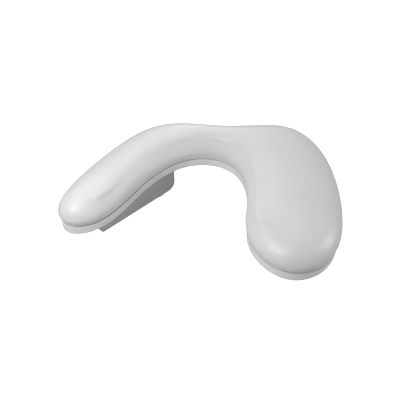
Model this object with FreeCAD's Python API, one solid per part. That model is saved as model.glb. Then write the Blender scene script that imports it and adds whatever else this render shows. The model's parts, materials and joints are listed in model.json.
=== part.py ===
"""Padded armrest of a dental chair, seen from above as a bent arm that ends in a wide elbow lobe.

A crowned foam cushion under a seamless vinyl cover sits on a plywood board. A shallow moulded tray closes the
board from below, and a wedge-shaped housing under the slim arm hides a steel bracket that swivels on a flanged
spindle. The spindle's flange is screwed to the chair.

Frame: millimetres, +Z up, origin on the swivel axis at the flange's lower face. +X points to the elbow lobe and
+Y to the convex side of the bend. Every node is one STEP file in parts/.
"""

import FreeCAD, Part
import math
import os
from FreeCAD import Vector

# Driving dimensions, in mm ------------------------------------------------------------------------------------
# Seam line in plan: a closed uniform cubic B-spline with these poles, counterclockwise from the hand end.
PAD_POLES = [
    (-140, -129), (-104, -157), (-51, -131), (-5, -46), (58, 6), (127, -5), (152, -57), (149, -121),
    (139, -183), (195, -246), (267, -216), (286, -127), (279, -8), (226, 65), (129, 47), (61, 61),
    (-9, 58), (-86, -33),
]
OUTLINE_SAMPLES = 64          # points that every copy of the outline is drawn through

SEAM_Z = 71.0                 # underside of the board and of the cushion
CUSHION_HEIGHT = 42.0
CROWN = [                     # the cushion's side, from seam to top: inset from the seam line, share of the height
    (-2.0, 0.0), (-2.0, 0.30), (0.0, 0.52), (4.4, 0.74), (11.5, 0.91), (21.5, 1.0),
]
COVER_THICKNESS = 1.2
COVER_MARGIN = 13.0           # width of the cover's turned-in edge under the board
FOAM_LIP = 5.0                # foam wrapped round the board's edge
BOARD_THICKNESS = 12.0

SHELL_GAP = 1.6               # shadow gap between the tray's rim and the cushion
SHELL_DEPTH = 16.0            # visible height of the tray, gap included
SHELL_WALL = 3.0
SHELL_EDGE_R = 2.2            # rounding of the tray's lower edge
BOSS_R = 6.5                  # the tray's screw bosses
RIB_WIDTH = 2.0               # ribs on the floor of the tray's lobe: one long, three across
RIB_HEIGHT = 5.0
RIB_SPAN_X = (155.0, 275.0)
RIB_SPAN_Y = (-205.0, 15.0)
LONG_RIB_X = 207.0
CROSS_RIBS_Y = (-150, -92, -34)

HOUSING_HEADING = 49.2        # degrees from +X to the housing's deep end
HOUSING_LENGTH = 163.0
HOUSING_WIDTH = 50.0
HOUSING_END_U = 27.0          # deep end face, measured from the swivel axis
HOUSING_LOW_Z = 1.0           # lowest edge, at the deep end
HOUSING_RISE = 24.0           # how much the sloped underside rises to the shallow end
HOUSING_WALL = 3.0
HOUSING_HEEL_R = 13.0         # rounded lower corner of the deep end
HOUSING_TOE_R = 5.0           # rounded lower corner of the shallow end
HOUSING_EDGE_R = 2.0          # rounding of the long lower edges and of the upright corners

FLANGE_R = 21.5
FLANGE_THICKNESS = 8.0
FLANGE_PCD = 32.0
FLANGE_TAP_R = 2.5            # tapping size of M6
OPENING_R = 22.5              # round openings that the flange passes through
SPINDLE_R = 11.0
SPINDLE_THREAD_R = 8.0
RUNNING_GAP = 0.03            # radial clearance of the swivel bushes
END_FLOAT = 0.05              # axial clearance of the swivel
HUB_R = 17.0
HUB_BORE_R = 14.0
BUSH_LENGTH = 20.0
BUSH_FLANGE = 1.5
THRUST_THICKNESS = 1.5
SWIVEL_RANGE = 100.0          # degrees between the two stops
STOP_PIN_R = 2.0
STOP_RADIUS = 19.2            # stop pin's distance from the swivel axis
STOP_LUG_WIDTH = 14.0         # degrees of each lug

PLATE_THICKNESS = 5.0
PLATE_U = (-112.0, 40.0)
PLATE_HALF_WIDTH = 18.0
WEB_THICKNESS = 6.0
BOLT_R = 4.0
NUT_BARREL_R = 5.0            # tee nut
NUT_FLANGE_R = 9.5
NUT_FLANGE_THICKNESS = 1.5
SCREW_R = 1.9
RECESS_DEPTH = 4.5            # counterbore of the tray's screws
CAP_R = 4.95

# Places of the fasteners, in the bracket's own u and v or in x and y.
BOLT_PLACES = [(33, 10.5), (33, -10.5), (-52, 11.5), (-52, -11.5), (-102, 11.5), (-102, -11.5)]
HOUSING_SCREW_PLACES = [(20, 18), (20, -18), (-128, 18), (-128, -18)]
SHELL_SCREW_PLACES = [(-104, -122), (58, 36), (123, 22), (236, 0), (176, -92), (250, -112), (208, -200)]

# Heights that follow from them --------------------------------------------------------------------------------
COVER_LOW_Z = SEAM_Z - COVER_THICKNESS
RIM_Z = SEAM_Z - SHELL_GAP
TRAY_LOW_Z = SEAM_Z - SHELL_DEPTH
TRAY_FLOOR_Z = TRAY_LOW_Z + SHELL_WALL
BOARD_TOP_Z = SEAM_Z + BOARD_THICKNESS
PLATE_LOW_Z = SEAM_Z - PLATE_THICKNESS
THRUST_TOP_Z = FLANGE_THICKNESS + THRUST_THICKNESS
HUB_LOW_Z = THRUST_TOP_Z + END_FLOAT + BUSH_FLANGE
STACK_R = 19.0                # round hole in the board for the friction stack
NUT_LOW_Z = 77.0
NUT_HEIGHT = 5.0
SPINDLE_TOP_Z = BOARD_TOP_Z - 0.5

UP = Vector(0, 0, 1)


# Plan geometry ------------------------------------------------------------------------------------------------
def outline_samples():
    """Evenly spaced points of the seam line, each with its inward direction and the room it has that way.

    The room is the radius of the largest circle that touches the outline there from inside.
    """
    curve = Part.BSplineCurve()
    count = len(PAD_POLES)
    curve.buildFromPolesMultsKnots([Vector(x, y, 0) for x, y in PAD_POLES], [1] * (count + 1),
                                   list(range(count + 1)), True, 3)
    step = curve.length() / OUTLINE_SAMPLES
    points, inward = [], []
    for i in range(OUTLINE_SAMPLES):
        at = curve.parameterAtDistance(i * step)
        along = curve.tangent(at)[0]
        points.append(curve.value(at))
        inward.append(Vector(-along.y, along.x, 0).normalize())
    room = []
    for p, n in zip(points, inward):
        radii = [(q - p).Length ** 2 / (2 * (q - p).dot(n)) for q in points if (q - p).dot(n) > 1e-3]
        room.append(min(radii))
    return list(zip(points, inward, room))


SAMPLES = outline_samples()


def plan_wire(inset, z):
    """The outline moved inwards by inset, at height z. A large inset is eased off where the pad is narrow."""
    curve = Part.BSplineCurve()
    moved = [p + n * (inset / math.hypot(1, inset / room)) + Vector(0, 0, z) for p, n, room in SAMPLES]
    curve.interpolate(Points=moved, PeriodicFlag=True)
    return Part.Wire(curve.toShape())


def plan_prism(inset, low, high):
    """An upright solid with the inset outline."""
    return Part.Face(plan_wire(inset, low)).extrude(Vector(0, 0, high - low))


def cushion_solid(skin, low):
    """The crowned cushion, made smaller by skin all over, from height low to its flat top."""
    wires = [plan_wire(CROWN[0][0] + skin, low)]
    for inset, share in CROWN[1:]:
        wires.append(plan_wire(inset + skin, SEAM_Z + share * (CUSHION_HEIGHT - skin)))
    return Part.makeLoft(wires, True, False)


def bracket_place(u, v, z=0.0):
    """A point of the bracket's own frame: u towards the housing's deep end, v to its left, z up."""
    a = math.radians(HOUSING_HEADING)
    return Vector(u * math.cos(a) - v * math.sin(a), u * math.sin(a) + v * math.cos(a), z)


def bracket_profile(points, half_width):
    """A solid from a side profile, a list of (u, z), that reaches half_width to each side of its middle."""
    corners = [bracket_place(u, -half_width, z) for u, z in points]
    face = Part.Face(Part.makePolygon(corners + corners[:1]))
    return face.extrude(bracket_place(0, 2 * half_width))


def rod(radius, low, high, at=Vector(0, 0, 0)):
    """An upright cylinder."""
    return Part.makeCylinder(radius, high - low, Vector(at.x, at.y, low), UP)


def ring(outer, inner, low, high, at=Vector(0, 0, 0)):
    """An upright tube."""
    return rod(outer, low, high, at).cut(rod(inner, low - 1, high + 1, at))


def hexagon(across_flats, low, high, at=Vector(0, 0, 0)):
    """An upright hexagonal prism."""
    r = across_flats / math.sqrt(3)
    corners = [at + Vector(r * math.cos(k * math.pi / 3), r * math.sin(k * math.pi / 3), low) for k in range(6)]
    return Part.Face(Part.makePolygon(corners + corners[:1])).extrude(Vector(0, 0, high - low))


# The pad ------------------------------------------------------------------------------------------------------
def upholstery_cover():
    """Vinyl skin over the foam, turned in under the board's edge."""
    skin = cushion_solid(0.0, COVER_LOW_Z).cut(cushion_solid(COVER_THICKNESS, SEAM_Z))
    return skin.cut(plan_prism(COVER_MARGIN, COVER_LOW_Z - 1, SEAM_Z + 0.01))


def tee_nut(at):
    """Flanged threaded barrel pressed into the board from above."""
    barrel = ring(NUT_BARREL_R, BOLT_R + 0.02, SEAM_Z + 2, BOARD_TOP_Z, at)
    flange = ring(NUT_FLANGE_R, BOLT_R + 0.02, BOARD_TOP_Z, BOARD_TOP_Z + NUT_FLANGE_THICKNESS, at)
    return barrel.fuse(flange).removeSplitter()


def tee_nuts():
    """One tee nut over each bracket bolt."""
    return [tee_nut(bracket_place(u, v)) for u, v in BOLT_PLACES]


def foam_core():
    """Moulded foam between cover and board, with pockets for the tee nuts."""
    foam = cushion_solid(COVER_THICKNESS, SEAM_Z)
    foam = foam.cut(plan_prism(COVER_THICKNESS + FOAM_LIP, SEAM_Z - 1, BOARD_TOP_Z))
    for u, v in BOLT_PLACES:
        pocket = rod(NUT_FLANGE_R, BOARD_TOP_Z - 1, BOARD_TOP_Z + NUT_FLANGE_THICKNESS, bracket_place(u, v))
        foam = foam.cut(pocket)
    return foam


def pad_board():
    """Plywood board with its holes for tee nuts, tray screws and the friction stack."""
    board = plan_prism(COVER_THICKNESS + FOAM_LIP, SEAM_Z, BOARD_TOP_Z)
    board = board.cut(rod(STACK_R, SEAM_Z - 1, BOARD_TOP_Z + 1))
    for u, v in BOLT_PLACES:
        at = bracket_place(u, v)
        board = board.cut(rod(BOLT_R + 0.5, SEAM_Z - 1, SEAM_Z + 2, at))
        board = board.cut(rod(NUT_BARREL_R, SEAM_Z + 2, BOARD_TOP_Z + 1, at))
    for x, y in SHELL_SCREW_PLACES:
        board = board.cut(rod(SCREW_R, SEAM_Z - 1, SEAM_Z + 10, Vector(x, y, 0)))
    return board


def cover_staples():
    """Staples that hold the cover's turned-in edge to the board, one at every second sample of the outline."""
    staples = []
    crown, wire, leg, crown_height = 10.0, 1.0, 7.0, 0.5
    low = COVER_LOW_Z - crown_height
    for p, n, _ in SAMPLES[::2]:
        centre = p + n * (COVER_MARGIN + FOAM_LIP + COVER_THICKNESS) / 2
        turn = math.degrees(math.atan2(n.y, n.x)) + 90
        staple = Part.makeBox(crown, wire, crown_height, Vector(-crown / 2, -wire / 2, low))
        for side in (-1, 1):
            x = side * (crown - wire) / 2 - wire / 2
            staple = staple.fuse(Part.makeBox(wire, wire, leg, Vector(x, -wire / 2, low)))
        staple = staple.removeSplitter()
        staple.rotate(Vector(0, 0, 0), UP, turn)
        staple.translate(centre)
        staples.append(staple)
    return staples


# The tray -----------------------------------------------------------------------------------------------------
def lower_shell():
    """Moulded tray that closes the pad from below, with screw bosses, ribs and the keyhole for the bracket."""
    body = plan_prism(0, TRAY_LOW_Z, RIM_Z)
    low_edge = [e for e in body.Edges if abs(e.BoundBox.ZMax - TRAY_LOW_Z) < 1e-6]
    body = body.makeFillet(SHELL_EDGE_R, low_edge)
    shell = body.cut(plan_prism(SHELL_WALL, TRAY_FLOOR_Z, RIM_Z + 1))
    root = TRAY_FLOOR_Z - 0.5
    for x, y in SHELL_SCREW_PLACES:
        shell = shell.fuse(rod(BOSS_R, root, SEAM_Z, Vector(x, y, 0)))
    (west, east), (south, north) = RIB_SPAN_X, RIB_SPAN_Y
    ribs = [Part.makeBox(RIB_WIDTH, north - south, RIB_HEIGHT, Vector(LONG_RIB_X, south, root))]
    ribs += [Part.makeBox(east - west, RIB_WIDTH, RIB_HEIGHT, Vector(west, y, root)) for y in CROSS_RIBS_Y]
    inside = plan_prism(SHELL_WALL - 0.5, TRAY_FLOOR_Z - 1, RIM_Z)
    for rib in ribs:
        shell = shell.fuse(rib.common(inside))
    for x, y in SHELL_SCREW_PLACES:
        at = Vector(x, y, 0)
        shell = shell.cut(rod(CAP_R + 0.05, TRAY_LOW_Z - 1, TRAY_LOW_Z + RECESS_DEPTH, at))
        shell = shell.cut(rod(SCREW_R + 0.05, TRAY_LOW_Z, SEAM_Z + 1, at))
    keyhole = rod(OPENING_R, TRAY_LOW_Z - 1, TRAY_FLOOR_Z + 1)
    slot = bracket_profile([(PLATE_U[0] - 4, TRAY_LOW_Z - 1), (0, TRAY_LOW_Z - 1),
                            (0, TRAY_FLOOR_Z + 1), (PLATE_U[0] - 4, TRAY_FLOOR_Z + 1)], WEB_THICKNESS)
    shell = shell.cut(keyhole).cut(slot)
    for u, v in HOUSING_SCREW_PLACES:
        shell = shell.cut(rod(SCREW_R + 0.1, TRAY_LOW_Z - 1, TRAY_FLOOR_Z + 1, bracket_place(u, v)))
    return shell.removeSplitter()


def shell_screws():
    """Pan-head screws from the tray into the board."""
    screws = []
    for x, y in SHELL_SCREW_PLACES:
        at = Vector(x, y, 0)
        seat = TRAY_LOW_Z + RECESS_DEPTH
        head = rod(4.0, seat - 2.4, seat, at).cut(rod(1.2, seat - 3, seat - 1.1, at))
        screws.append(head.fuse(rod(SCREW_R, seat, SEAM_Z + 10, at)).removeSplitter())
    return screws


def screw_caps():
    """Plastic caps that close the tray's screw recesses, flush with its underside."""
    return [rod(CAP_R, TRAY_LOW_Z, TRAY_LOW_Z + 1.6, Vector(x, y, 0)) for x, y in SHELL_SCREW_PLACES]


# The housing --------------------------------------------------------------------------------------------------
def housing_profile(wall):
    """Side profile of the housing as (u, z), moved in by wall at its ends and its sloped underside."""
    deep, shallow = HOUSING_END_U - wall, HOUSING_END_U - HOUSING_LENGTH + wall
    slope = HOUSING_RISE / HOUSING_LENGTH
    lift = wall * math.hypot(1, slope) + wall * slope if wall else 0.0
    low_deep = HOUSING_LOW_Z + lift
    low_shallow = low_deep + slope * (deep - shallow)
    return [(deep, TRAY_LOW_Z), (deep, low_deep), (shallow, low_shallow), (shallow, TRAY_LOW_Z)]


def edge_near(solid, middle, tolerance=0.6):
    """The solid's edges whose middle is at that point."""
    return [e for e in solid.Edges if (e.BoundBox.Center - middle).Length < tolerance]


def bracket_housing():
    """Hollow wedge under the slim arm, open at the top, with four screw bosses."""
    (deep, top), (_, low_deep), (shallow, low_shallow), _ = housing_profile(0)
    half = HOUSING_WIDTH / 2
    body = bracket_profile(housing_profile(0), half)
    body = body.makeFillet(HOUSING_HEEL_R, edge_near(body, bracket_place(deep, 0, low_deep)))
    body = body.makeFillet(HOUSING_TOE_R, edge_near(body, bracket_place(shallow, 0, low_shallow)))
    sides = [e for e in body.Edges if e.BoundBox.ZMax < top - 0.01
             and abs(abs(e.CenterOfMass.dot(bracket_place(0, 1))) - half) < 0.01]
    uprights = [e for e in body.Edges if e.BoundBox.ZMax > top - 0.01 and e.BoundBox.ZMin < top - 0.01]
    body = body.makeFillet(HOUSING_EDGE_R, sides + uprights)
    hollow = bracket_profile(housing_profile(HOUSING_WALL), half - HOUSING_WALL)
    (in_deep, _), (_, in_low), *_ = housing_profile(HOUSING_WALL)
    heel = edge_near(hollow, bracket_place(in_deep, 0, in_low))
    hollow = hollow.makeFillet(HOUSING_HEEL_R - HOUSING_WALL, heel)
    in_shallow = shallow + HOUSING_WALL
    mouth = [(in_deep, top - 1), (in_deep, top + 1), (in_shallow, top + 1), (in_shallow, top - 1)]
    hollow = hollow.fuse(bracket_profile(mouth, half - HOUSING_WALL))
    housing = body.cut(hollow)
    for u, v in HOUSING_SCREW_PLACES:
        housing = housing.fuse(rod(4.6, TRAY_LOW_Z - 20, TRAY_LOW_Z, bracket_place(u, v)).common(body))
    for u, v in HOUSING_SCREW_PLACES:
        housing = housing.cut(rod(SCREW_R, TRAY_LOW_Z - 16, TRAY_LOW_Z + 1, bracket_place(u, v)))
    return housing.cut(rod(OPENING_R, -1, HOUSING_LOW_Z + 16)).removeSplitter()


def housing_screws():
    """Pan-head screws from the tray's floor down into the housing's bosses."""
    screws = []
    for u, v in HOUSING_SCREW_PLACES:
        at = bracket_place(u, v)
        head = rod(3.8, TRAY_FLOOR_Z, TRAY_FLOOR_Z + 2.4, at)
        head = head.cut(rod(1.1, TRAY_FLOOR_Z + 1.2, TRAY_FLOOR_Z + 3, at))
        screws.append(head.fuse(rod(SCREW_R, TRAY_LOW_Z - 14, TRAY_FLOOR_Z, at)).removeSplitter())
    return screws


# The steel bracket --------------------------------------------------------------------------------------------
def bracket_plate():
    """Steel plate bolted under the board, welded to the hub."""
    (back, front), half = PLATE_U, PLATE_HALF_WIDTH
    plate = bracket_profile([(back, PLATE_LOW_Z), (front, PLATE_LOW_Z), (front, SEAM_Z), (back, SEAM_Z)], half)
    corners = [e for e in plate.Edges if abs(e.Length - PLATE_THICKNESS) < 1e-6]
    plate = plate.makeFillet(8, corners)
    for u, v in BOLT_PLACES:
        plate = plate.cut(rod(BOLT_R + 0.5, PLATE_LOW_Z - 1, SEAM_Z + 1, bracket_place(u, v)))
    return plate.cut(rod(HUB_R, PLATE_LOW_Z - 1, SEAM_Z + 1))


def hub_tube():
    """Steel tube that holds the two bushes."""
    return ring(HUB_R, HUB_BORE_R, HUB_LOW_Z, SEAM_Z)


def bracket_web():
    """Upright web under the plate, from the hub towards the hand end."""
    slope = HOUSING_RISE / HOUSING_LENGTH
    back = PLATE_U[0] + 4
    web = bracket_profile([(0, 22), (back * 0.45, 24 - slope * back * 0.45), (back, PLATE_LOW_Z - 7),
                           (back, PLATE_LOW_Z), (0, PLATE_LOW_Z)], WEB_THICKNESS / 2)
    return web.cut(rod(HUB_R, 0, SEAM_Z + 1))


def stop_lug(start):
    """A lug welded round the hub, from the angle start over its width."""
    block = ring(STOP_RADIUS + 2.2, HUB_R, HUB_LOW_Z + 1, HUB_LOW_Z + 8)
    far = 40.0
    a, b = math.radians(start), math.radians(start + STOP_LUG_WIDTH)
    corners = [Vector(0, 0, 0), Vector(far * math.cos(a), far * math.sin(a), 0),
               Vector(far * math.cos(b), far * math.sin(b), 0)]
    return block.common(Part.Face(Part.makePolygon(corners + corners[:1])).extrude(Vector(0, 0, SEAM_Z)))


def stop_lugs():
    """Two lugs that meet the stop pin at the ends of the swing."""
    half_pin = math.degrees(math.asin(STOP_PIN_R / STOP_RADIUS)) + 1.0
    return [stop_lug(half_pin), stop_lug(-half_pin - SWIVEL_RANGE - STOP_LUG_WIDTH)]


def bracket_bolts():
    """Low-head M8 bolts from the plate into the tee nuts."""
    bolts = []
    for u, v in BOLT_PLACES:
        at = bracket_place(u, v)
        head = rod(7.0, PLATE_LOW_Z - 4.2, PLATE_LOW_Z, at)
        low_edge = [e for e in head.Edges if e.BoundBox.ZMax < PLATE_LOW_Z - 4.1]
        head = head.makeFillet(2.5, low_edge).cut(hexagon(5.0, PLATE_LOW_Z - 5, PLATE_LOW_Z - 1.8, at))
        bolts.append(head.fuse(rod(BOLT_R, PLATE_LOW_Z, BOARD_TOP_Z - 1, at)).removeSplitter())
    return bolts


def flanged_bush(low, high, flange_low):
    """Polymer bush in the hub with a flange at one end."""
    inner = SPINDLE_R + RUNNING_GAP
    body = ring(HUB_BORE_R, inner, low, high)
    return body.fuse(ring(16.5, inner, flange_low, flange_low + BUSH_FLANGE)).removeSplitter()


# The swivel's fixed side --------------------------------------------------------------------------------------
def pivot_flange():
    """Round steel flange with four tapped holes and the stop pin's blind hole."""
    flange = ring(FLANGE_R, SPINDLE_R, 0, FLANGE_THICKNESS)
    rim = [e for e in flange.Edges if abs(e.Length - 2 * math.pi * FLANGE_R) < 0.1]
    flange = flange.makeChamfer(0.6, rim)
    for k in range(4):
        a = math.radians(45 + 90 * k)
        at = Vector(FLANGE_PCD / 2 * math.cos(a), FLANGE_PCD / 2 * math.sin(a), 0)
        flange = flange.cut(rod(FLANGE_TAP_R, -1, FLANGE_THICKNESS + 1, at))
    return flange.cut(rod(STOP_PIN_R, FLANGE_THICKNESS - 5, FLANGE_THICKNESS + 1, Vector(STOP_RADIUS, 0, 0)))


def pivot_spindle():
    """Steel spindle pressed into the flange, threaded at its top."""
    shaft = rod(SPINDLE_R, 0, NUT_LOW_Z - 0.1)
    tip = rod(SPINDLE_THREAD_R, NUT_LOW_Z - 0.1, SPINDLE_TOP_Z)
    top_edge = [e for e in tip.Edges if e.BoundBox.ZMin > SPINDLE_TOP_Z - 0.1]
    return shaft.fuse(tip.makeChamfer(0.8, top_edge)).removeSplitter()


def stop_pin():
    """Pin pressed into the flange."""
    return rod(STOP_PIN_R, FLANGE_THICKNESS - 5, HUB_LOW_Z + 5, Vector(STOP_RADIUS, 0, 0))


def thrust_washer():
    """Polymer washer that carries the armrest on the flange."""
    return ring(16.5, SPINDLE_R + RUNNING_GAP, FLANGE_THICKNESS, THRUST_TOP_Z)


def friction_washer():
    """Steel washer pressed on the upper bush, which holds the armrest where it is put."""
    return ring(17.0, SPINDLE_R + RUNNING_GAP, SEAM_Z + BUSH_FLANGE + END_FLOAT, SEAM_Z + 3.5)


def disc_spring():
    """Conical spring washer under the nut."""
    low, high, thick = SEAM_Z + 3.5, NUT_LOW_Z, 1.1
    inner, outer = SPINDLE_R + 0.3, 16.4
    section = [(outer, low), (outer, low + thick), (inner, high), (inner, high - thick)]
    corners = [Vector(r, 0, z) for r, z in section]
    return Part.Face(Part.makePolygon(corners + corners[:1])).revolve(Vector(0, 0, 0), UP, 360)


def lock_nut():
    """Thin nut that sets the friction."""
    nut = hexagon(24.0, NUT_LOW_Z, NUT_LOW_Z + NUT_HEIGHT)
    return nut.cut(rod(SPINDLE_THREAD_R, NUT_LOW_Z - 1, NUT_LOW_Z + NUT_HEIGHT + 1))


NODES = {
    "upholstery_cover": upholstery_cover,
    "foam_core": foam_core,
    "pad_board": pad_board,
    "tee_nuts": tee_nuts,
    "cover_staples": cover_staples,
    "lower_shell": lower_shell,
    "shell_screws": shell_screws,
    "screw_caps": screw_caps,
    "bracket_housing": bracket_housing,
    "housing_screws": housing_screws,
    "bracket_plate": bracket_plate,
    "hub_tube": hub_tube,
    "bracket_web": bracket_web,
    "stop_lugs": stop_lugs,
    "bracket_bolts": bracket_bolts,
    "upper_bush": lambda: flanged_bush(SEAM_Z - BUSH_LENGTH, SEAM_Z, SEAM_Z),
    "lower_bush": lambda: flanged_bush(HUB_LOW_Z, HUB_LOW_Z + BUSH_LENGTH, HUB_LOW_Z - BUSH_FLANGE),
    "pivot_flange": pivot_flange,
    "pivot_spindle": pivot_spindle,
    "stop_pin": stop_pin,
    "thrust_washer": thrust_washer,
    "friction_washer": friction_washer,
    "disc_spring": disc_spring,
    "lock_nut": lock_nut,
}


def main():
    """Builds every node and writes it to parts/NODE.step."""
    os.makedirs("parts", exist_ok=True)
    for name, make in NODES.items():
        made = make()
        solids = [solid for piece in (made if isinstance(made, list) else [made]) for solid in piece.Solids]
        shape = solids[0] if len(solids) == 1 else Part.makeCompound(solids)
        shape.exportStep(f"parts/{name}.step")
        volume = sum(solid.Volume for solid in solids) / 1000
        print(f"{name}: {len(solids)} solid(s), {volume:.2f} cm3, valid {shape.isValid()}")


main()
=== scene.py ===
"""Looks of a dental chair's padded armrest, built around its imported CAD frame.

The cushion is a foam pad under seamless vinyl. It is lofted from the tray's own outline, remeshed, inflated
as cloth and then given its rolled lower edge. The moulded parts and the steel swivel keep their CAD shapes
and get procedural finishes. Everything is in metres, in the CAD model's frame.
"""

import json
import logging
import math
from collections.abc import Iterable
from dataclasses import dataclass, field
from enum import Enum

import bmesh
import bpy
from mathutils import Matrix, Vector, noise


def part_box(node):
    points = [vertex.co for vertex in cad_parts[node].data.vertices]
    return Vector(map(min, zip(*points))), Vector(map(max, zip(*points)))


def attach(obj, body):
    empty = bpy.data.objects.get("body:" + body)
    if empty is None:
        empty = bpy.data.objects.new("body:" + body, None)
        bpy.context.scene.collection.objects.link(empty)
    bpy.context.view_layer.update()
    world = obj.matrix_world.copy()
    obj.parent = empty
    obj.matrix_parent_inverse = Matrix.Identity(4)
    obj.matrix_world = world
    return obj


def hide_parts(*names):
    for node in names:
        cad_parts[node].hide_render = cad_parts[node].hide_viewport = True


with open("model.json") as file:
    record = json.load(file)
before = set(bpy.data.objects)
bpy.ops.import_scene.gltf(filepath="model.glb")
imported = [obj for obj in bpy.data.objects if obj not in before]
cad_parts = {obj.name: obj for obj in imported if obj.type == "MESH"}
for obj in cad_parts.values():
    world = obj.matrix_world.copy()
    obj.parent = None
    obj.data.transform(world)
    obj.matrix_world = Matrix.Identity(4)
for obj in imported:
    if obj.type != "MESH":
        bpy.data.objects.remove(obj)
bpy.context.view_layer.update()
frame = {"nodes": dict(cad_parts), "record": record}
LOG = logging.getLogger("armrest")

Colour = tuple[float, float, float]
Triple = tuple[float, float, float]


# Shader helpers ---------------------------------------------------------------------------------------
class Shader:
    """A material's node tree, with one Principled surface and a few chained helpers."""

    def __init__(self, name: str) -> None:
        """Starts an empty material.

        Args:
            name: the material's name.
        """
        self.material = bpy.data.materials.new(name)
        self.material.use_nodes = True
        self.tree = self.material.node_tree
        self.surface = self.tree.nodes["Principled BSDF"]
        self.place = self.add("ShaderNodeTexCoord").outputs["Object"]

    def add(self, kind: str, **settings: object) -> bpy.types.Node:
        """Adds a node.

        Args:
            kind: Blender's name of the node type.
            **settings: attributes of the node, or values of its named inputs.

        Returns:
            The new node.
        """
        node = self.tree.nodes.new(kind)
        for key, value in settings.items():
            if hasattr(node, key):
                setattr(node, key, value)
            else:
                node.inputs[key].default_value = value
        return node

    def link(self, source: bpy.types.NodeSocket, target: bpy.types.NodeSocket) -> None:
        """Joins an output to an input."""
        self.tree.links.new(source, target)

    def noise(self, scale: float, detail: float = 3.0, stretch: Triple = (1.0, 1.0, 1.0),
              heading: float = 0.0) -> bpy.types.NodeSocket:
        """A noise pattern on the piece's own coordinates.

        Args:
            scale: features per metre.
            detail: octaves.
            stretch: how much each axis is squeezed before the noise is read.
            heading: angle of the pattern's first axis from +X, in degrees.

        Returns:
            The noise's value, from 0 to 1.
        """
        mapping = self.add("ShaderNodeMapping", vector_type="TEXTURE")
        mapping.inputs["Rotation"].default_value = (0.0, 0.0, math.radians(heading))
        mapping.inputs["Scale"].default_value = [1 / share for share in stretch]
        self.link(self.place, mapping.inputs["Vector"])
        texture = self.add("ShaderNodeTexNoise", Scale=scale, Detail=detail, Roughness=0.55)
        self.link(mapping.outputs["Vector"], texture.inputs["Vector"])
        return texture.outputs["Fac"]

    def cells(self, scale: float) -> bpy.types.NodeSocket:
        """Distance to the nearest point of a cell pattern, as in moulded or embossed grain."""
        texture = self.add("ShaderNodeTexVoronoi", Scale=scale)
        self.link(self.place, texture.inputs["Vector"])
        return texture.outputs["Distance"]

    def near(self, point: Triple, radius: float) -> bpy.types.NodeSocket:
        """A spot that is 1 at a point and fades to 0 at a radius."""
        apart = self.add("ShaderNodeVectorMath", operation="DISTANCE")
        apart.inputs[1].default_value = point
        self.link(self.place, apart.inputs[0])
        fade = self.add("ShaderNodeMapRange", interpolation_type="SMOOTHSTEP")
        for name, value in (("From Max", radius), ("To Min", 1.0), ("To Max", 0.0)):
            fade.inputs[name].default_value = value
        self.link(apart.outputs["Value"], fade.inputs["Value"])
        return fade.outputs["Result"]

    def combined(self, first: bpy.types.NodeSocket, second: bpy.types.NodeSocket,
                 operation: str = "MULTIPLY") -> bpy.types.NodeSocket:
        """Two values put together by a math operation."""
        node = self.add("ShaderNodeMath", operation=operation)
        self.link(first, node.inputs[0])
        self.link(second, node.inputs[1])
        return node.outputs["Value"]

    def spread(self, value: bpy.types.NodeSocket, low: float, high: float) -> bpy.types.NodeSocket:
        """Maps a value from 0..1 to low..high."""
        node = self.add("ShaderNodeMapRange")
        node.inputs["To Min"].default_value = low
        node.inputs["To Max"].default_value = high
        self.link(value, node.inputs["Value"])
        return node.outputs["Result"]

    def tint(self, value: bpy.types.NodeSocket, dark: Colour, light: Colour) -> None:
        """Colours the surface between two tones by a value."""
        ramp = self.add("ShaderNodeValToRGB")
        for stop, position, tone in zip(ramp.color_ramp.elements, (0.3, 0.7), (dark, light)):
            stop.position = position
            stop.color = (*tone, 1.0)
        self.link(value, ramp.inputs["Fac"])
        self.link(ramp.outputs["Color"], self.surface.inputs["Base Color"])

    def rough(self, value: bpy.types.NodeSocket, low: float, high: float) -> None:
        """Varies the roughness by a value."""
        self.link(self.spread(value, low, high), self.surface.inputs["Roughness"])

    def bump(self, *layers: tuple[bpy.types.NodeSocket, float, float]) -> None:
        """Stacks bump layers.

        Args:
            *layers: each a height, its depth in metres and its strength.
        """
        last = None
        for height, depth, strength in layers:
            node = self.add("ShaderNodeBump", Distance=depth, Strength=strength)
            self.link(height, node.inputs["Height"])
            if last is not None:
                self.link(last, node.inputs["Normal"])
            last = node.outputs["Normal"]
        self.link(last, self.surface.inputs["Normal"])


def grey(value: float, warmth: float = 0.0) -> Colour:
    """A neutral tone, made warmer or cooler by a small warmth."""
    return (value * (1 + warmth), value, value * (1 - warmth))


# Finishes ---------------------------------------------------------------------------------------------
@dataclass(frozen=True)
class StretchMark:
    """A patch of short fine creases, where the cover is drawn over a change of shape."""

    centre: Triple
    radius: float
    heading: float


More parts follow.
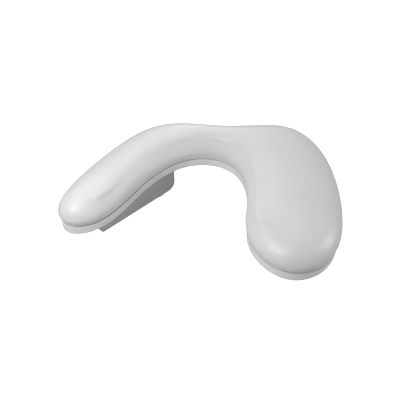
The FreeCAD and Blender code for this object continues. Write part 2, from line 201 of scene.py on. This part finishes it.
@dataclass(frozen=True)
class VinylFinish:
    """Semi-gloss upholstery vinyl with a fine embossed grain, handling marks and a few patches of creases."""

    tone: float = 0.66
    roughness: tuple[float, float] = (0.38, 0.52)
    coat_weight: float = 0.12
    coat_roughness: float = 0.30
    handling_per_metre: float = 38.0
    grain_per_metre: float = 1500.0
    grain_depth: float = 0.00006
    wrinkles_per_metre: float = 55.0
    wrinkle_depth: float = 0.0006
    creases_per_metre: float = 330.0
    crease_depth: float = 0.0013
    crease_stretch: Triple = (0.2, 1.0, 1.0)
    marks: tuple[StretchMark, ...] = (
        StretchMark((0.187, -0.078, 0.114), 0.034, 52.0),
        StretchMark((0.234, -0.032, 0.112), 0.030, 50.0),
        StretchMark((0.215, -0.180, 0.112), 0.034, 22.0),
    )

    def material(self) -> bpy.types.Material:
        """Builds the material."""
        s = Shader("cover_vinyl")
        s.tint(s.noise(9.0, 4.0), grey(self.tone * 0.97), grey(self.tone * 1.02))
        s.rough(s.noise(self.handling_per_metre, 5.0), *self.roughness)
        s.surface.inputs["Coat Weight"].default_value = self.coat_weight
        s.surface.inputs["Coat Roughness"].default_value = self.coat_roughness
        patches = [self.patch(s, mark) for mark in self.marks]
        creases = patches[0]
        for patch in patches[1:]:
            creases = s.combined(creases, patch, "ADD")
        s.bump((s.noise(self.wrinkles_per_metre, 6.0), self.wrinkle_depth, 0.10),
               (creases, self.crease_depth, 0.35),
               (s.cells(self.grain_per_metre), self.grain_depth, 0.35))
        return s.material

    def patch(self, s: Shader, mark: StretchMark) -> bpy.types.NodeSocket:
        """The height of one patch of creases, which is 0 outside the patch."""
        lines = s.noise(self.creases_per_metre, 3.0, self.crease_stretch, mark.heading)
        return s.combined(lines, s.near(mark.centre, mark.radius))


@dataclass(frozen=True)
class MouldedFinish:
    """Moulded plastic with a fine spark-eroded texture."""

    name: str
    tone: float
    warmth: float = 0.0
    roughness: float = 0.5
    texture_per_metre: float = 1800.0
    texture_depth: float = 0.00006

    def material(self) -> bpy.types.Material:
        """Builds the material."""
        s = Shader(self.name)
        s.tint(s.noise(14.0, 4.0), grey(self.tone * 0.95, self.warmth), grey(self.tone * 1.04, self.warmth))
        s.rough(s.noise(60.0, 4.0), self.roughness - 0.06, self.roughness + 0.08)
        s.bump((s.noise(self.texture_per_metre, 2.0), self.texture_depth, 0.5))
        return s.material


@dataclass(frozen=True)
class MetalFinish:
    """Bare, plated or blued steel with turning or drawing marks."""

    name: str
    colour: Colour
    roughness: float = 0.34
    marks: Triple = (1.0, 1.0, 14.0)

    def material(self) -> bpy.types.Material:
        """Builds the material."""
        s = Shader(self.name)
        s.surface.inputs["Metallic"].default_value = 1.0
        s.tint(s.noise(30.0, 4.0), tuple(c * 0.85 for c in self.colour), self.colour)
        streaks = s.noise(160.0, 4.0, self.marks)
        s.rough(streaks, self.roughness - 0.08, self.roughness + 0.12)
        s.bump((streaks, 0.00004, 0.3))
        return s.material


@dataclass(frozen=True)
class PowderCoatFinish:
    """Black powder coat with orange peel."""

    name: str = "coated_steel"
    tone: float = 0.03

    def material(self) -> bpy.types.Material:
        """Builds the material."""
        s = Shader(self.name)
        s.tint(s.noise(20.0), grey(self.tone), grey(self.tone * 1.5))
        s.rough(s.noise(90.0), 0.38, 0.52)
        s.bump((s.noise(900.0, 1.0), 0.00006, 0.4))
        return s.material


@dataclass(frozen=True)
class PlywoodFinish:
    """Birch plywood with long grain and layered edges."""

    name: str = "plywood"
    light: Colour = (0.62, 0.44, 0.25)
    dark: Colour = (0.44, 0.28, 0.14)

    def material(self) -> bpy.types.Material:
        """Builds the material."""
        s = Shader(self.name)
        grain = s.noise(70.0, 6.0, (0.12, 1.0, 5.0))
        s.tint(grain, self.dark, self.light)
        s.rough(grain, 0.55, 0.75)
        s.bump((grain, 0.0003, 0.3))
        return s.material


class Slot(Enum):
    """The record's material slots, each with the finish that its CAD nodes get."""

    COVER_VINYL = VinylFinish()
    SHELL_PLASTIC = MouldedFinish("shell_plastic", tone=0.75, roughness=0.42)
    HOUSING_PLASTIC = MouldedFinish("housing_plastic", tone=0.52, roughness=0.56)
    BUSH_POLYMER = MouldedFinish("bush_polymer", tone=0.80, warmth=0.04, roughness=0.36)
    ZINC_STEEL = MetalFinish("zinc_steel", (0.60, 0.61, 0.64))
    TURNED_STEEL = MetalFinish("turned_steel", (0.50, 0.51, 0.53), marks=(1.0, 1.0, 30.0))
    SPRING_STEEL = MetalFinish("spring_steel", (0.28, 0.30, 0.36), roughness=0.28)
    COATED_STEEL = PowderCoatFinish()
    PLYWOOD = PlywoodFinish()

    @property
    def record_name(self) -> str:
        """The slot's name in the record."""
        return self.name.lower()


# Mesh helpers -----------------------------------------------------------------------------------------
def outer_loop(node: str, height: float) -> list[Vector]:
    """The closed line that a level plane cuts round the outside of a CAD node.

    Args:
        node: the CAD node.
        height: the plane's height in metres.

    Returns:
        The line's points in order, counterclockwise seen from above.
    """
    cut = bmesh.new()
    cut.from_mesh(frame["nodes"][node].data)
    bmesh.ops.remove_doubles(cut, verts=cut.verts, dist=2e-6)
    geometry = cut.verts[:] + cut.edges[:] + cut.faces[:]
    bmesh.ops.bisect_plane(cut, geom=geometry, plane_co=(0, 0, height), plane_no=(0, 0, 1),
                           clear_inner=True, clear_outer=True)
    loops = [[v.co.copy() for v in loop] for loop in loops_of(cut.edges)]
    cut.free()
    outermost = max(loops, key=lambda line: abs(area_of(line)))
    return outermost if area_of(outermost) > 0 else outermost[::-1]


def loops_of(edges: Iterable[bmesh.types.BMEdge]) -> list[list[bmesh.types.BMVert]]:
    """The closed loops that edges form, each as its vertices in order."""
    beside: dict[bmesh.types.BMVert, list[bmesh.types.BMVert]] = {}
    for edge in edges:
        for vert in edge.verts:
            beside.setdefault(vert, []).append(edge.other_vert(vert))
    loops: list[list[bmesh.types.BMVert]] = []
    seen: set[bmesh.types.BMVert] = set()
    for start in beside:
        loop, here = [], None if start in seen else start
        while here is not None:
            seen.add(here)
            loop.append(here)
            here = next((v for v in beside[here] if v not in seen), None)
        if loop:
            loops.append(loop)
    return loops


def area_of(line: list[Vector]) -> float:
    """The area inside a closed level line, negative when it runs clockwise."""
    return sum(a.x * b.y - b.x * a.y for a, b in zip(line, line[1:] + line[:1])) / 2


def length_of(line: list[Vector]) -> float:
    """The length of a closed line."""
    return sum((b - a).length for a, b in zip(line, line[1:] + line[:1]))


def even_loop(line: list[Vector], count: int, passes: int = 4) -> list[Vector]:
    """Evenly spaced points along a closed line, relaxed a little so that its small chords don't show.

    Args:
        line: the closed line.
        count: how many points to place.
        passes: rounds of relaxing.

    Returns:
        The new points.
    """
    step, walked, at = length_of(line) / count, 0.0, 0
    points: list[Vector] = []
    closed = line + line[:1]
    for a, b in zip(closed, closed[1:]):
        span = (b - a).length
        while at < count and at * step <= walked + span:
            points.append(a.lerp(b, (at * step - walked) / max(span, 1e-9)))
            at += 1
        walked += span
    for _ in range(passes):
        points = [(points[i - 1] + points[i] * 2 + points[(i + 1) % count]) / 4 for i in range(count)]
    return points


def finished(name: str, mesh: bmesh.types.BMesh, material: bpy.types.Material) -> bpy.types.Object:
    """Turns a bmesh into a linked, smooth-shaded object at the origin.

    Args:
        name: the object's name.
        mesh: the shape, which is freed.
        material: its material.

    Returns:
        The object.
    """
    data = bpy.data.meshes.new(name)
    mesh.to_mesh(data)
    mesh.free()
    data.materials.append(material)
    data.shade_smooth()
    made = bpy.data.objects.new(name, data)
    bpy.context.scene.collection.objects.link(made)
    return made


def apply_modifiers(piece: bpy.types.Object) -> None:
    """Bakes a piece's modifiers into its mesh."""
    evaluated = piece.evaluated_get(bpy.context.evaluated_depsgraph_get())
    data = bpy.data.meshes.new_from_object(evaluated)
    piece.modifiers.clear()
    piece.data = data


# The cushion ------------------------------------------------------------------------------------------
@dataclass
class Cushion:
    """The vinyl-covered pad: a crowned form that swells past its seam line and curls under at the tray."""

    body: str = "armrest"
    seam: float = field(default_factory=lambda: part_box("pad_board")[0].z)
    height: float = field(default_factory=lambda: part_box("upholstery_cover")[1].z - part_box("pad_board")[0].z)
    outline: list[Vector] = field(default_factory=list)

    # The section: how far it stands out past the seam line, and how it closes over to the crown.
    ring_points: int = 260
    swell: float = 0.0042
    end_swell: float = 0.00011
    widest_height: float = 0.0085
    crown_inset: float = 0.046
    squareness: float = 2.15
    low_rings: int = 4
    high_rings: int = 14
    even_out: int = 110

    # The net and the inflation.
    voxel: float = 0.0046
    net_smoothing: int = 6
    pressure: float = 4.0
    stretch_stiffness: float = 20.0
    bending_stiffness: float = 4.0
    held_height: float = 0.002
    freeing_height: float = 0.012
    last_frame: int = 20
    most_travel: float = 0.008

    # The skin's unevenness, each as features per metre and depth, and its last smoothing.
    ripples: tuple[tuple[float, float], ...] = ((20.0, 0.0008), (52.0, 0.0002))
    skin_smoothing: int = 14

    # The rolled lower edge, from the height where the net is cut down to its hem. The hem rises from
    # closed_hem to open_hem between the two values of Y in open_side.
    cut_height: float = 0.0075
    hem_rings: int = 7
    closed_hem: float = 0.0010
    open_hem: float = 0.0026
    hem_turn_in: float = 0.006
    open_side: tuple[float, float] = (-0.050, -0.200)

    def build(self) -> bpy.types.Object:
        """Builds, inflates and dresses the cushion, hides the two CAD nodes that it stands in for, and hangs it
        on its body.

        Returns:
            The finished piece.
        """
        shell_low, shell_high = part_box("lower_shell")
        middle = (shell_low.z + shell_high.z) / 2
        self.outline = even_loop(outer_loop("lower_shell", middle), self.ring_points)
        piece = finished("cushion", self.block(), Slot.COVER_VINYL.value.material())
        self.remesh(piece)
        self.inflate(piece)
        self.ripple(piece)
        self.refine(piece)
        self.curl_under(piece)
        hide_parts("upholstery_cover", "foam_core")
        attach(piece, self.body)
        return piece

    def low_side(self, share: float) -> tuple[float, float]:
        """The side between the seam and its widest place, a quarter of an ellipse.

        Args:
            share: 0 at the seam, 1 at the widest place.

        Returns:
            The inset from the seam line and the height above it.
        """
        turn = share * math.pi / 2
        return -self.swell * math.sin(turn), self.widest_height * (1 - math.cos(turn))

    def high_side(self, share: float) -> tuple[float, float]:
        """The side between its widest place and the crown, a quarter of a squared-off ellipse.

        Args:
            share: 0 at the widest place, 1 at the crown.

        Returns:
            The inset from the seam line and the height above it.
        """
        turn, power = share * math.pi / 2, 2 / self.squareness
        across = 1 - math.cos(turn) ** power
        return (-self.swell + (self.crown_inset + self.swell) * across,
                self.widest_height + (self.height - self.widest_height) * math.sin(turn) ** power)

    def section(self) -> list[tuple[float, float]]:
        """Inset and height of each ring of the side, from just above the seam to the crown."""
        low = [self.low_side(k / self.low_rings) for k in range(1, self.low_rings + 1)]
        high = [self.high_side(k / self.high_rings) for k in range(1, self.high_rings + 1)]
        return low + high

    def inward(self) -> list[Vector]:
        """Level unit vectors that point into the pad from each point of the outline."""
        count = len(self.outline)
        along = [self.outline[(i + 1) % count] - self.outline[i - 1] for i in range(count)]
        return [Vector((-a.y, a.x, 0)).normalized() for a in along]

    def room(self) -> list[float]:
        """Radius of the largest circle inside the outline that touches it at each point."""
        found = []
        for p, n in zip(self.outline, self.inward()):
            ahead = [q - p for q in self.outline if (q - p).dot(n) > 1e-4]
            found.append(min(way.length_squared / (2 * way.dot(n)) for way in ahead))
        return self.evened(found)

    def extra_swell(self) -> list[float]:
        """How much further the side stands out at each point: more at tight ends, less inside the bend."""
        count = len(self.outline)
        step = length_of(self.outline) / count
        bends = []
        for i, n in enumerate(self.inward()):
            ahead, behind = self.outline[(i + 1) % count], self.outline[i - 1]
            bends.append((ahead + behind - self.outline[i] * 2).dot(n) / step ** 2)
        return [bend * self.end_swell for bend in self.evened(bends)]

    def evened(self, values: list[float]) -> list[float]:
        """Values along the outline, smoothed over a neighbourhood."""
        count = len(values)
        for _ in range(self.even_out):
            values = [(values[i - 1] + 2 * values[i] + values[(i + 1) % count]) / 4 for i in range(count)]
        return values

    def block(self) -> bmesh.types.BMesh:
        """The pad before it is inflated: the outline, extruded through the side's rings and closed."""
        shape = bmesh.new()
        inward, room, extra = self.inward(), self.room(), self.extra_swell()
        ring = [shape.verts.new((p.x, p.y, self.seam)) for p in self.outline]
        shape.faces.new(ring[::-1])
        for inset, rise in self.section():
            ring = self.next_ring(shape, ring)
            for i, vert in enumerate(ring):
                moved = inset - extra[i] * min(rise / self.widest_height, 1.0)
                eased = moved / math.hypot(1, moved / room[i])
                vert.co = self.outline[i] + inward[i] * eased
                vert.co.z = self.seam + rise
        shape.faces.new(ring)
        bmesh.ops.triangulate(shape, faces=[f for f in shape.faces if len(f.verts) > 4])
        bmesh.ops.recalc_face_normals(shape, faces=shape.faces)
        return shape

    @staticmethod
    def next_ring(shape: bmesh.types.BMesh, ring: list[bmesh.types.BMVert]) -> list[bmesh.types.BMVert]:
        """Extrudes a closed ring of vertices once.

        Args:
            shape: the mesh.
            ring: the ring's vertices in order.

        Returns:
            The new ring's vertices, in step with the old ones.
        """
        edges = [shape.edges.get((ring[i - 1], ring[i])) for i in range(len(ring))]
        new = {g for g in bmesh.ops.extrude_edge_only(shape, edges=edges)["geom"]
               if isinstance(g, bmesh.types.BMVert)}
        return [next(e.other_vert(v) for e in v.link_edges if e.other_vert(v) in new) for v in ring]

    def remesh(self, piece: bpy.types.Object) -> None:
        """Gives the block an even net of small quads."""
        step = piece.modifiers.new("net", "REMESH")
        step.mode = "VOXEL"
        step.voxel_size = self.voxel
        step.use_smooth_shade = True
        even = piece.modifiers.new("even", "SMOOTH")
        even.factor = 0.5
        even.iterations = self.net_smoothing
        apply_modifiers(piece)

    def inflate(self, piece: bpy.types.Object) -> None:
        """Swells the pad as cloth under pressure, held along its seam, with a cap on each point's travel."""
        start = [v.co.copy() for v in piece.data.vertices]
        held = piece.vertex_groups.new(name="held")
        for v in piece.data.vertices:
            freed = (v.co.z - self.seam - self.held_height) / self.freeing_height
            held.add([v.index], 1.0 - min(max(freed, 0.0), 1.0), "REPLACE")
        cloth = piece.modifiers.new("cloth", "CLOTH")
        cloth.settings.vertex_group_mass = held.name
        cloth.settings.use_pressure = True
        cloth.settings.uniform_pressure_force = self.pressure
        cloth.settings.tension_stiffness = self.stretch_stiffness
        cloth.settings.compression_stiffness = self.stretch_stiffness
        cloth.settings.bending_stiffness = self.bending_stiffness
        cloth.settings.effector_weights.gravity = 0.0
        cloth.collision_settings.use_collision = False
        cloth.point_cache.frame_start, cloth.point_cache.frame_end = 1, self.last_frame
        for number in range(1, self.last_frame + 1):
            bpy.context.scene.frame_set(number)
        apply_modifiers(piece)
        bpy.context.scene.frame_set(1)
        for v, was in zip(piece.data.vertices, start):
            travel = v.co - was
            if travel.length > self.most_travel:
                v.co = was + travel.normalized() * self.most_travel
        piece.vertex_groups.clear()

    def ripple(self, piece: bpy.types.Object) -> None:
        """Gives the skin the faint unevenness of vinyl stretched by hand."""
        normals = [v.normal.copy() for v in piece.data.vertices]
        for v, normal in zip(piece.data.vertices, normals):
            high = min(max((v.co.z - self.seam) / self.height, 0.0), 1.0)
            swing = sum(depth * noise.noise(v.co * per_metre) for per_metre, depth in self.ripples)
            v.co += normal * (swing * high)

    def refine(self, piece: bpy.types.Object) -> None:
        """Smooths the net's small steps and subdivides it once."""
        even = piece.modifiers.new("even", "CORRECTIVE_SMOOTH")
        even.use_only_smooth = True
        even.factor = 0.5
        even.iterations = self.skin_smoothing
        fine = piece.modifiers.new("fine", "SUBSURF")
        fine.levels = fine.render_levels = 1
        apply_modifiers(piece)

    def curl_under(self, piece: bpy.types.Object) -> None:
        """Cuts the blurred lowest strip off and curls a crisp edge under, down to the tray's rim."""
        shape = bmesh.new()
        shape.from_mesh(piece.data)
        cut = bmesh.ops.bisect_plane(shape, geom=shape.verts[:] + shape.edges[:] + shape.faces[:],
                                     plane_co=(0, 0, self.seam + self.cut_height), plane_no=(0, 0, 1),
                                     clear_inner=True)
        cut_edges = [g for g in cut["geom_cut"] if isinstance(g, bmesh.types.BMEdge)]
        ring = max(loops_of(cut_edges), key=len)
        directions = self.inward()
        feet, inward = zip(*(self.on_outline(vert.co, directions) for vert in ring))
        swells = [Vector((vert.co.x - foot.x, vert.co.y - foot.y, 0)) for vert, foot in zip(ring, feet)]
        hems = [self.hem_height(foot) for foot in feet]
        top_turn = math.acos(1 - self.cut_height / self.widest_height)
        for k in range(1, self.hem_rings + 1):
            turn = top_turn * (1 - k / self.hem_rings)
            out, up = math.sin(turn) / math.sin(top_turn), (1 - math.cos(turn)) / (1 - math.cos(top_turn))
            ring = self.next_ring(shape, ring)
            for vert, foot, swell, hem in zip(ring, feet, swells, hems):
                vert.co = foot + swell * out
                vert.co.z = self.seam + hem + (self.cut_height - hem) * up
        ring = self.next_ring(shape, ring)
        for vert, foot, inwards, hem in zip(ring, feet, inward, hems):
            vert.co = foot + inwards * self.hem_turn_in
            vert.co.z = self.seam + hem
        underside = shape.faces.new(ring)
        shape.normal_update()
        bmesh.ops.triangulate(shape, faces=[underside], ngon_method="EAR_CLIP")
        bmesh.ops.recalc_face_normals(shape, faces=shape.faces)
        shape.to_mesh(piece.data)
        shape.free()
        piece.data.shade_smooth()

    def hem_height(self, point: Vector) -> float:
        """How far above the seam line the edge ends: lower in the bend, where the pad is pulled tight."""
        near, far = self.open_side
        share = min(max((point.y - near) / (far - near), 0.0), 1.0)
        return self.closed_hem + (self.open_hem - self.closed_hem) * share

    def on_outline(self, point: Vector, inward: list[Vector]) -> tuple[Vector, Vector]:
        """Finds the outline's nearest place to a point.

        Args:
            point: the point, whose height doesn't matter.
            inward: the level direction into the pad at each of the outline's points.

        Returns:
            The place, and the direction into the pad there.
        """
        count = len(self.outline)
        flat = Vector((point.x, point.y, self.outline[0].z))
        i = min(range(count), key=lambda k: (self.outline[k] - flat).length_squared)
        places = []
        for a, b in ((i - 1, i), (i, (i + 1) % count)):
            p, q = self.outline[a], self.outline[b]
            t = min(max((flat - p).dot(q - p) / (q - p).length_squared, 0.0), 1.0)
            places.append((p.lerp(q, t), inward[a].lerp(inward[b], t).normalized()))
        return min(places, key=lambda place: (place[0] - flat).length)


# The CAD nodes ----------------------------------------------------------------------------------------
@dataclass
class Fittings:
    """The moulded parts, the steel bracket and the swivel, which keep their CAD shapes."""

    def dress(self) -> list[str]:
        """Gives every CAD node the finish of its slot, except the two nodes that the cushion replaces.

        Returns:
            The names of the dressed nodes.
        """
        finishes = {slot.record_name: slot.value.material() for slot in Slot if slot is not Slot.COVER_VINYL}
        dressed = []
        for part in frame["record"]["subparts"]:
            node = frame["nodes"][part["node"]]
            finish = finishes.get(part["material_slot"])
            if finish is None:
                continue
            node.data.materials.clear()
            node.data.materials.append(finish)
            dressed.append(node.name)
        return dressed


# The studio -------------------------------------------------------------------------------------------
@dataclass(frozen=True)
class Softbox:
    """A square area light that looks at the pad.

    Its heading is in degrees: 0 in front of the pad, 90 at the hand end, 180 behind, 270 at the elbow lobe.
    """

    name: str
    heading: float
    elevation: float
    distance: float
    side: float
    watts: float

    def build(self, centre: Vector) -> None:
        """Hangs the light.

        Args:
            centre: the point that it looks at and stands round.
        """
        light = bpy.data.lights.new(self.name, "AREA")
        light.size = self.side
        light.energy = self.watts
        lamp = bpy.data.objects.new(self.name, light)
        turn, rise = math.radians(self.heading), math.radians(self.elevation)
        away = Vector((-math.sin(turn) * math.cos(rise), -math.cos(turn) * math.cos(rise), math.sin(rise)))
        lamp.location = centre + away * self.distance
        lamp.rotation_euler = away.to_track_quat("Z", "Y").to_euler()
        bpy.context.scene.collection.objects.link(lamp)


@dataclass
class Studio:
    """A pale floor, soft lights and the camera."""

    floor_level: float = -0.70
    floor_radius: float = 6.0
    floor_glow: float = 0.9
    camera_target: Triple = (0.078, -0.093, 0.071)
    camera_distance: float = 0.950
    camera_elevation: float = 46.0
    lens: float = 57.0
    sky: float = 0.04
    ground: float = 0.56
    backdrop: float = 0.95
    light_centre: Triple = (0.08, -0.09, 0.09)
    lights: tuple[Softbox, ...] = (
        Softbox("key_softbox", 45.0, 45.0, 0.8, 0.4, 4.9),
        Softbox("hand_end_softbox", 135.0, 45.0, 0.8, 0.4, 1.4),
        Softbox("elbow_end_softbox", 270.0, 20.0, 1.6, 0.6, 10.6),
        Softbox("front_softbox", 0.0, 20.0, 1.6, 0.6, 1.2),
        Softbox("high_back_softbox", 180.0, 50.0, 1.6, 0.6, 2.6),
        Softbox("low_back_softbox", 180.0, 20.0, 1.6, 0.6, 4.5),
    )

    def build(self) -> None:
        """Sets the stage."""
        self.floor()
        self.world()
        for light in self.lights:
            light.build(Vector(self.light_centre))
        self.camera()

    def floor(self) -> None:
        """Lays a wide pale disc well below the part, which only the camera sees."""
        shape = bmesh.new()
        bmesh.ops.create_circle(shape, cap_ends=True, segments=96, radius=self.floor_radius)
        bmesh.ops.translate(shape, verts=shape.verts, vec=(0, 0, self.floor_level))
        s = Shader("studio_floor")
        s.tint(s.noise(1.5), grey(0.93), grey(0.95))
        s.surface.inputs["Roughness"].default_value = 0.9
        s.surface.inputs["Emission Color"].default_value = (1, 1, 1, 1)
        s.surface.inputs["Emission Strength"].default_value = self.floor_glow
        floor = finished("studio_floor", shape, s.material)
        floor.visible_diffuse = floor.visible_glossy = False

    def world(self) -> None:
        """Lights the part mostly from below, and shows the camera a pale backdrop instead."""
        world = bpy.data.worlds.new("studio")
        world.use_nodes = True
        nodes, links = world.node_tree.nodes, world.node_tree.links
        direction = nodes.new("ShaderNodeTexCoord").outputs["Generated"]
        split = nodes.new("ShaderNodeSeparateXYZ")
        fade = nodes.new("ShaderNodeMapRange")
        fade.inputs["From Min"].default_value = -1.0
        fade.inputs["To Min"].default_value = self.ground
        fade.inputs["To Max"].default_value = self.sky
        nodes["Background"].inputs["Color"].default_value = (1, 1, 1, 1)
        links.new(direction, split.inputs["Vector"])
        links.new(split.outputs["Z"], fade.inputs["Value"])
        seen = nodes.new("ShaderNodeMath")
        seen.operation = "MULTIPLY"
        seen.inputs[1].default_value = self.backdrop
        links.new(nodes.new("ShaderNodeLightPath").outputs["Is Camera Ray"], seen.inputs[0])
        strength = nodes.new("ShaderNodeMath")
        strength.operation = "MAXIMUM"
        links.new(fade.outputs["Result"], strength.inputs[0])
        links.new(seen.outputs[0], strength.inputs[1])
        links.new(strength.outputs[0], nodes["Background"].inputs["Strength"])
        bpy.context.scene.world = world

    def camera(self) -> None:
        """Places the camera."""
        data = bpy.data.cameras.new("camera")
        data.lens = self.lens
        data.sensor_width = 36.0
        camera = bpy.data.objects.new("camera", data)
        rise = math.radians(self.camera_elevation)
        away = Vector((0, -math.cos(rise), math.sin(rise)))
        camera.location = Vector(self.camera_target) + self.camera_distance * away
        camera.rotation_euler = (math.pi / 2 - rise, 0, 0)
        bpy.context.scene.collection.objects.link(camera)
        bpy.context.scene.camera = camera
        bpy.context.scene.view_settings.view_transform = "Standard"


def main() -> None:
    """Builds the armrest's looks and its studio, in order."""
    logging.basicConfig(level=logging.INFO, format="%(message)s")
    cushion = Cushion().build()
    LOG.info("cushion: %d faces", len(cushion.data.polygons))
    for name in Fittings().dress():
        LOG.info("dressed %s", name)
    Studio().build()


if __name__ == "__main__":
    main()
